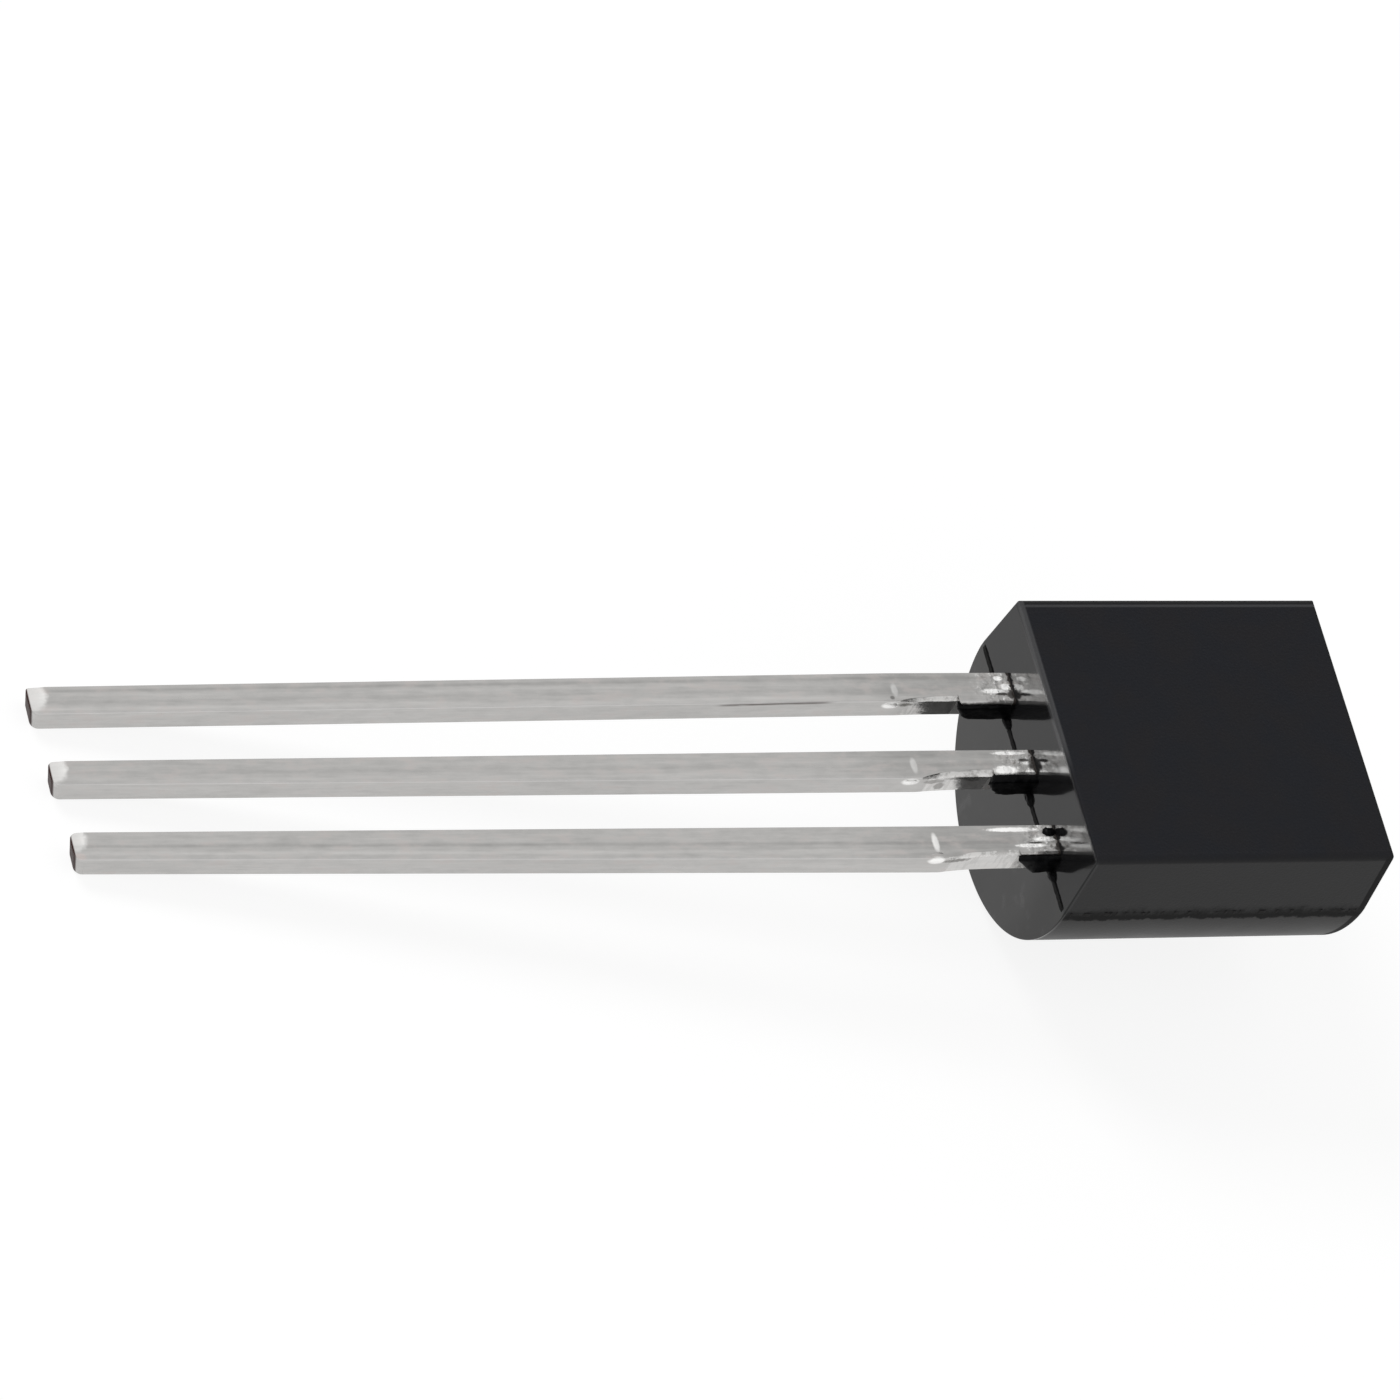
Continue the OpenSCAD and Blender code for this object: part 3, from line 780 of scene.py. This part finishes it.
# The painted highlight in the tip's hollow: its half length and its middle, in
# from the high side
PINCHED = ((0.27, 0.6), (0.25, 0.55), (0.23, 0.44))
HIGHLIGHT_TIN, PALE = (0.98, 0.975, 0.96), (0.85, 0.84, 0.83)


class OnLead:
    """Where a point lies on one lead, the grain of its tin, and the marks on it as masks."""

    def __init__(self, f, i):
        self.i = i
        self.place = f.place()
        self.x, y, self.z = f.split(self.place)
        self.tip = self.x + LEAD_LENS[i]
        # 1 at the high side of the lead and -1 at its low side, all along it
        run = (0 - self.x - DAM_FAR).math("MAXIMUM", 0)
        taper = (LEAD_WS[i] - TIP_WS[i]) / 2 / (LEAD_LENS[i] - DAM_FAR)
        self.across = (y - LEAD_Y[i] - run * LEAN[i]) / (LEAD_WS[i] / 2 - run * taper)
        self.front = self.z.over(LEAD_T - 0.04, LEAD_T - 0.005)
        self.low_side = self.across.under(-0.5, -0.4)

        def drawn_noise(stretch, shift, detail, roughness):
            return f.noise(f.stretch(self.place, stretch, shift), 1.0, detail, roughness)
        self.streak = drawn_noise((0.45, 9, 9), (i * 7.3, 0, 0), 3.0, 0.6)
        self.fine = drawn_noise((2.5, 26, 26), (0, i * 2.0, 0), 2.0, 0.5)
        self.blot = drawn_noise((3.0, 6, 6), (i * 3.1, 0, 0), 3.0, 0.6)
        self.scores = drawn_noise((14, 14, 2.5), (0, 0, 0), 2.0, 0.6)
        self.mottle = f.noise(self.place, 16.0, 3.0, 0.6)

    def spots(self, places, over, raggedness):
        """Ragged spots, each given by its place and half lengths along the lead and over it."""
        total = None
        for x0, a0, rx, ra in places:
            one = (((self.x - x0) / rx).math("POWER", 2) + ((over - a0) / ra).math("POWER", 2)
                   + (self.mottle - 0.5) * raggedness).under(0.2, 1.2)
            total = total.either(one) if total else one
        return total

    def pinched(self):
        """In the hollow that the cutter pinched into the tip."""
        wide, middle = PINCHED[self.i]
        over = (self.across - (1 - middle)) * (TIP_WS[self.i] / 2 / wide)
        spot = ((self.tip / wide).math("POWER", 2) + over.math("POWER", 2)
                + (self.mottle - 0.5) * 0.5).under(0.55, 1.15)
        return spot * self.z.over(LEAD_T - 0.12, LEAD_T - 0.08)

    def burr(self):
        at, below, tall = BURRS[self.i]
        spot = self.spots(((at, LEAD_T - below, 0.14, tall + 0.02),), self.z, 0.3)
        return spot * self.across.under(-0.95, -0.85)

    def bitten(self):
        """On the torn face of the punch's bite."""
        deep = BITES[self.i][1]
        where = (self.x.within(-1.7, -0.45, 0.05) * self.low_side
                 * self.z.under(LEAD_T - 0.008, LEAD_T - 0.002))
        return (where * self.z.over(LEAD_T - deep - 0.02, LEAD_T - deep)
                * (self.blot + self.mottle - 0.5).over(0.35, 0.6))

    def pressed(self):
        """On the mark that the punch's corner pressed across the front."""
        at, middle, half = PRESSED[self.i]
        span = half / LEAD_WS[self.i] * 2.8
        return self.spots(((at, middle, 0.055, span),), self.across, 0.6) * self.front

    def sheared(self):
        """On the side where the dam bar was sheared off."""
        return (self.x.within(-1.6, SHEARED[self.i][0], 0.02) * self.low_side
                * self.z.under(LEAD_T - 0.05, LEAD_T - 0.03))

    def torn(self):
        return (self.spots(TORN[self.i], self.z, 2.0) * self.low_side
                * self.z.under(LEAD_T - 0.03, LEAD_T))

    def scratched(self):
        """On a long scratch on the low side."""
        height = self.z - LEAD_T + 0.06 - (self.x + 4.4) * 0.02 + (self.fine - 0.5) * 0.03
        return (height.within(-0.02, 0.02, 0.025) * self.x.within(-4.4, -2.8, 0.15)
                * self.across.under(-1, -0.9) * self.fine.over(0.2, 0.45))

    def cut(self):
        """On the slanted face of the cut tip."""
        slant = (LEAD_T - self.z) * ((TIP_SLANT - 0.02) / LEAD_T)
        return (self.tip + 0.02 - slant).under(0.012, 0.035) * self.across.over(-1.02, -0.9)

    def crept(self):
        """Where resin crept over the neck."""
        brown = self.spots(BROWN[self.i], self.across, 1.6) * self.front
        return (self.x + self.mottle * 0.14).over(0.03, 0.06).either(brown * 0.9)


def drawn_tin(f, on):
    """The colour of tin drawn out along the lead, duller near the case, with painted light: sides
    paler than the front and a painted highlight on the round of its low front edge.
    """
    tone = 0.5 + (on.streak - 0.5) * 0.45 + (on.blot - 0.5) * 0.55 + (on.fine - 0.5) * 0.35
    for middle, width, change in DRAWN[on.i]:
        line = abs(on.across - middle).under(0.0, width)
        tone = tone + line * on.streak * (on.front * (2 * change))
    near = on.x.over(-3.4, -1.5) * on.x.under(-0.7, -0.45)
    # Painted light: the sides and back are paler than the front; the front is duller near the
    # case
    tone = tone + (1 - on.front) * 0.25 - near * on.front * 0.3
    metal = f.tint(tone, (0.30, 0.296, 0.289), (0.57, 0.561, 0.548))
    metal = f.tint(on.blot.over(0.5, 0.7) * 0.4, metal, (0.47, 0.425, 0.41))
    # Painted highlight along the round of the low front edge
    edge = on.z.within(LEAD_T - 0.03, LEAD_T - 0.002, 0.006) * on.across.under(-0.96, -0.88)
    return f.tint(edge * 0.3, metal, PALE)


def tin(i):
    """Tinned copper alloy, with the marks of the tools on lead i, and painted highlights and
    shade on it.
    """
    f = Finish("tinned_" + LEADS[i])
    on = OnLead(f, i)
    pinched, burr, bitten, sheared = on.pinched(), on.burr(), on.bitten(), on.sheared()
    cut, crept = on.cut(), on.crept()

    metal = drawn_tin(f, on)
    if LEADS[i] == "emitter":
        metal = f.tint(on.scratched(), metal, (0.12, 0.105, 0.1))
        # Painted shade: a small dark spot where the corner of the punch struck
        painted_shade_spot = on.spots(((-1.84, -0.79, 0.04, 0.16),), on.across, 0.5) * on.front
        metal = f.tint(painted_shade_spot * 0.8, metal, (0.14, 0.135, 0.13))
    # Painted highlights: in the tip's hollow, on the burr, the bite and the pressed mark, in
    # spots on the front near the case and on the front's crumpled part
    painted_glints = on.spots(PAINTED_GLINTS[i], on.across, 1.6) * on.front
    crumpled_light_and_shade = on.front * on.x.over(-0.7, -0.2)
    painted_highlights = (pinched * 0.32).either(burr * 1.15).either(bitten * 0.5)
    painted_highlights = painted_highlights.either(on.pressed() * PRESSED_HIGHLIGHT[i]).either(painted_glints * 1.1)
    painted_highlights = painted_highlights.either(crumpled_light_and_shade * on.mottle.over(0.56, 0.66) * 0.7)
    metal = f.tint(painted_highlights, metal, HIGHLIGHT_TIN)
    # Painted shade in the crumpled part of the front
    metal = f.tint(crumpled_light_and_shade * on.mottle.under(0.34, 0.42) * 0.6, metal, (0.14, 0.13, 0.11))
    # Pale metal where the dam bar was sheared off, its score lines darkened by a painted
    # reflection of the black case, with dark torn spots
    _, shine, reflection_in_scores = SHEARED[i]
    metal = f.tint(sheared * shine, metal, PALE)
    metal = f.tint(sheared * on.scores.over(0.5, 0.65) * reflection_in_scores, metal, (0.25, 0.245, 0.24))
    metal = f.tint(on.torn() * TORN_DARK[i], metal, (0.13, 0.125, 0.115))
    if LEADS[i] == "collector":
        # Copper shows through on the tip's low corner
        copper = on.spots(((0.06 - LEAD_LENS[i], -0.85, 0.1, 0.35),), on.across, 0.8) * on.front
        metal = f.tint(copper * 0.22, metal, (0.66, 0.5, 0.46))
    # Bare copper alloy on the cut tip, and brown resin over the neck by the case
    colour = f.tint(cut, metal, (0.035, 0.014, 0.012))
    colour = f.tint(crept, colour, (0.016, 0.011, 0.008))

    rough = (f.between(on.streak, 0.33, 0.25) + crept * 0.2 + cut * 0.25 + pinched * 0.08
             - sheared * 0.17 + burr * 0.1 + bitten * 0.3)
    dents = f.noise(on.place, 7.0, 2.0, 0.5) * on.x.over(-0.8, -0.3)
    height = on.streak * 0.5 + on.blot * 0.5 + on.fine * 0.25 + dents * 2
    return f.shader(Base_Color=colour, Metallic=1 - crept * 0.9, Roughness=rough,
                    Normal=f.bump(height, 0.000006))


dress(case, resin())
dress(lip, flash_resin())
black_resin = fin_resin()
for piece in resin_bits:
    dress(piece, black_resin)
for i, lead in enumerate(leads):
    dress(lead, tin(i))


def inner_finish(name, a, b, scale, **named):
    """A finish of grains between two colours, for a piece inside the case."""
    f = Finish(name)
    grain = f.noise(f.place(), scale, 3.0, 0.6)
    return f.shader(Base_Color=f.tint(grain, a, b), Normal=f.bump(grain, 0.000002), **named)


silicon = inner_finish("sawn_silicon", (0.05, 0.055, 0.07), (0.09, 0.095, 0.11), 30.0,
                       Roughness=0.25)
solder = inner_finish("soft_solder", (0.42, 0.42, 0.41), (0.55, 0.55, 0.53), 20.0,
                      Metallic=1.0, Roughness=0.35)
gold = inner_finish("gold_wire", (0.85, 0.55, 0.18), (0.95, 0.66, 0.27), 40.0,
                    Metallic=1.0, Roughness=0.22)
for node, material in (("silicon_die", silicon), ("die_solder", solder),
                       ("base_bond_wire", gold), ("emitter_bond_wire", gold)):
    dress(bpy.data.objects[node], material)


# ---- Floor and light ----

def floor_finish():
    """White paper that still takes the object's shadow."""
    f = Finish("pale_floor")
    paper = f.node("ShaderNodeBsdfDiffuse", None, (0.88, 0.88, 0.88))
    glow = f.node("ShaderNodeEmission", None, (1, 1, 1), 1.08)
    mixed = f.node("ShaderNodeMixShader", None, f.seen() * 0.8, paper, glow)
    f.node("ShaderNodeOutputMaterial", None, mixed)
    return f.material


def tent():
    """Soft light from all round."""
    f = Finish("soft_tent", bpy.data.worlds.new("soft_tent"))
    light = f.node("ShaderNodeBackground", None, (1, 1, 1), f.between(f.seen(), 0.55, 1.0))
    f.node("ShaderNodeOutputWorld", None, light)
    return f.material


floor = primitive("floor", bpy.ops.mesh.primitive_plane_add, size=3)
dress(floor, floor_finish())
bpy.context.scene.world = tent()

# One round lamp that faces the object, high up beyond the tip of the emitter's lead
lamp_data = bpy.data.lights.new("key_softbox", "AREA")
lamp_data.shape, lamp_data.size, lamp_data.energy = "DISK", 0.16, 0.65
lamp = bpy.data.objects.new("key_softbox", lamp_data)
bpy.context.scene.collection.objects.link(lamp)
direction = Vector((-0.52, 0.51, 0.69)).normalized()
lamp.location = direction * 0.4 + Vector((0.005, 0, 0.002))
lamp.rotation_euler = direction.to_track_quat("Z", "Y").to_euler()

bpy.context.scene.view_settings.view_transform = "Standard"
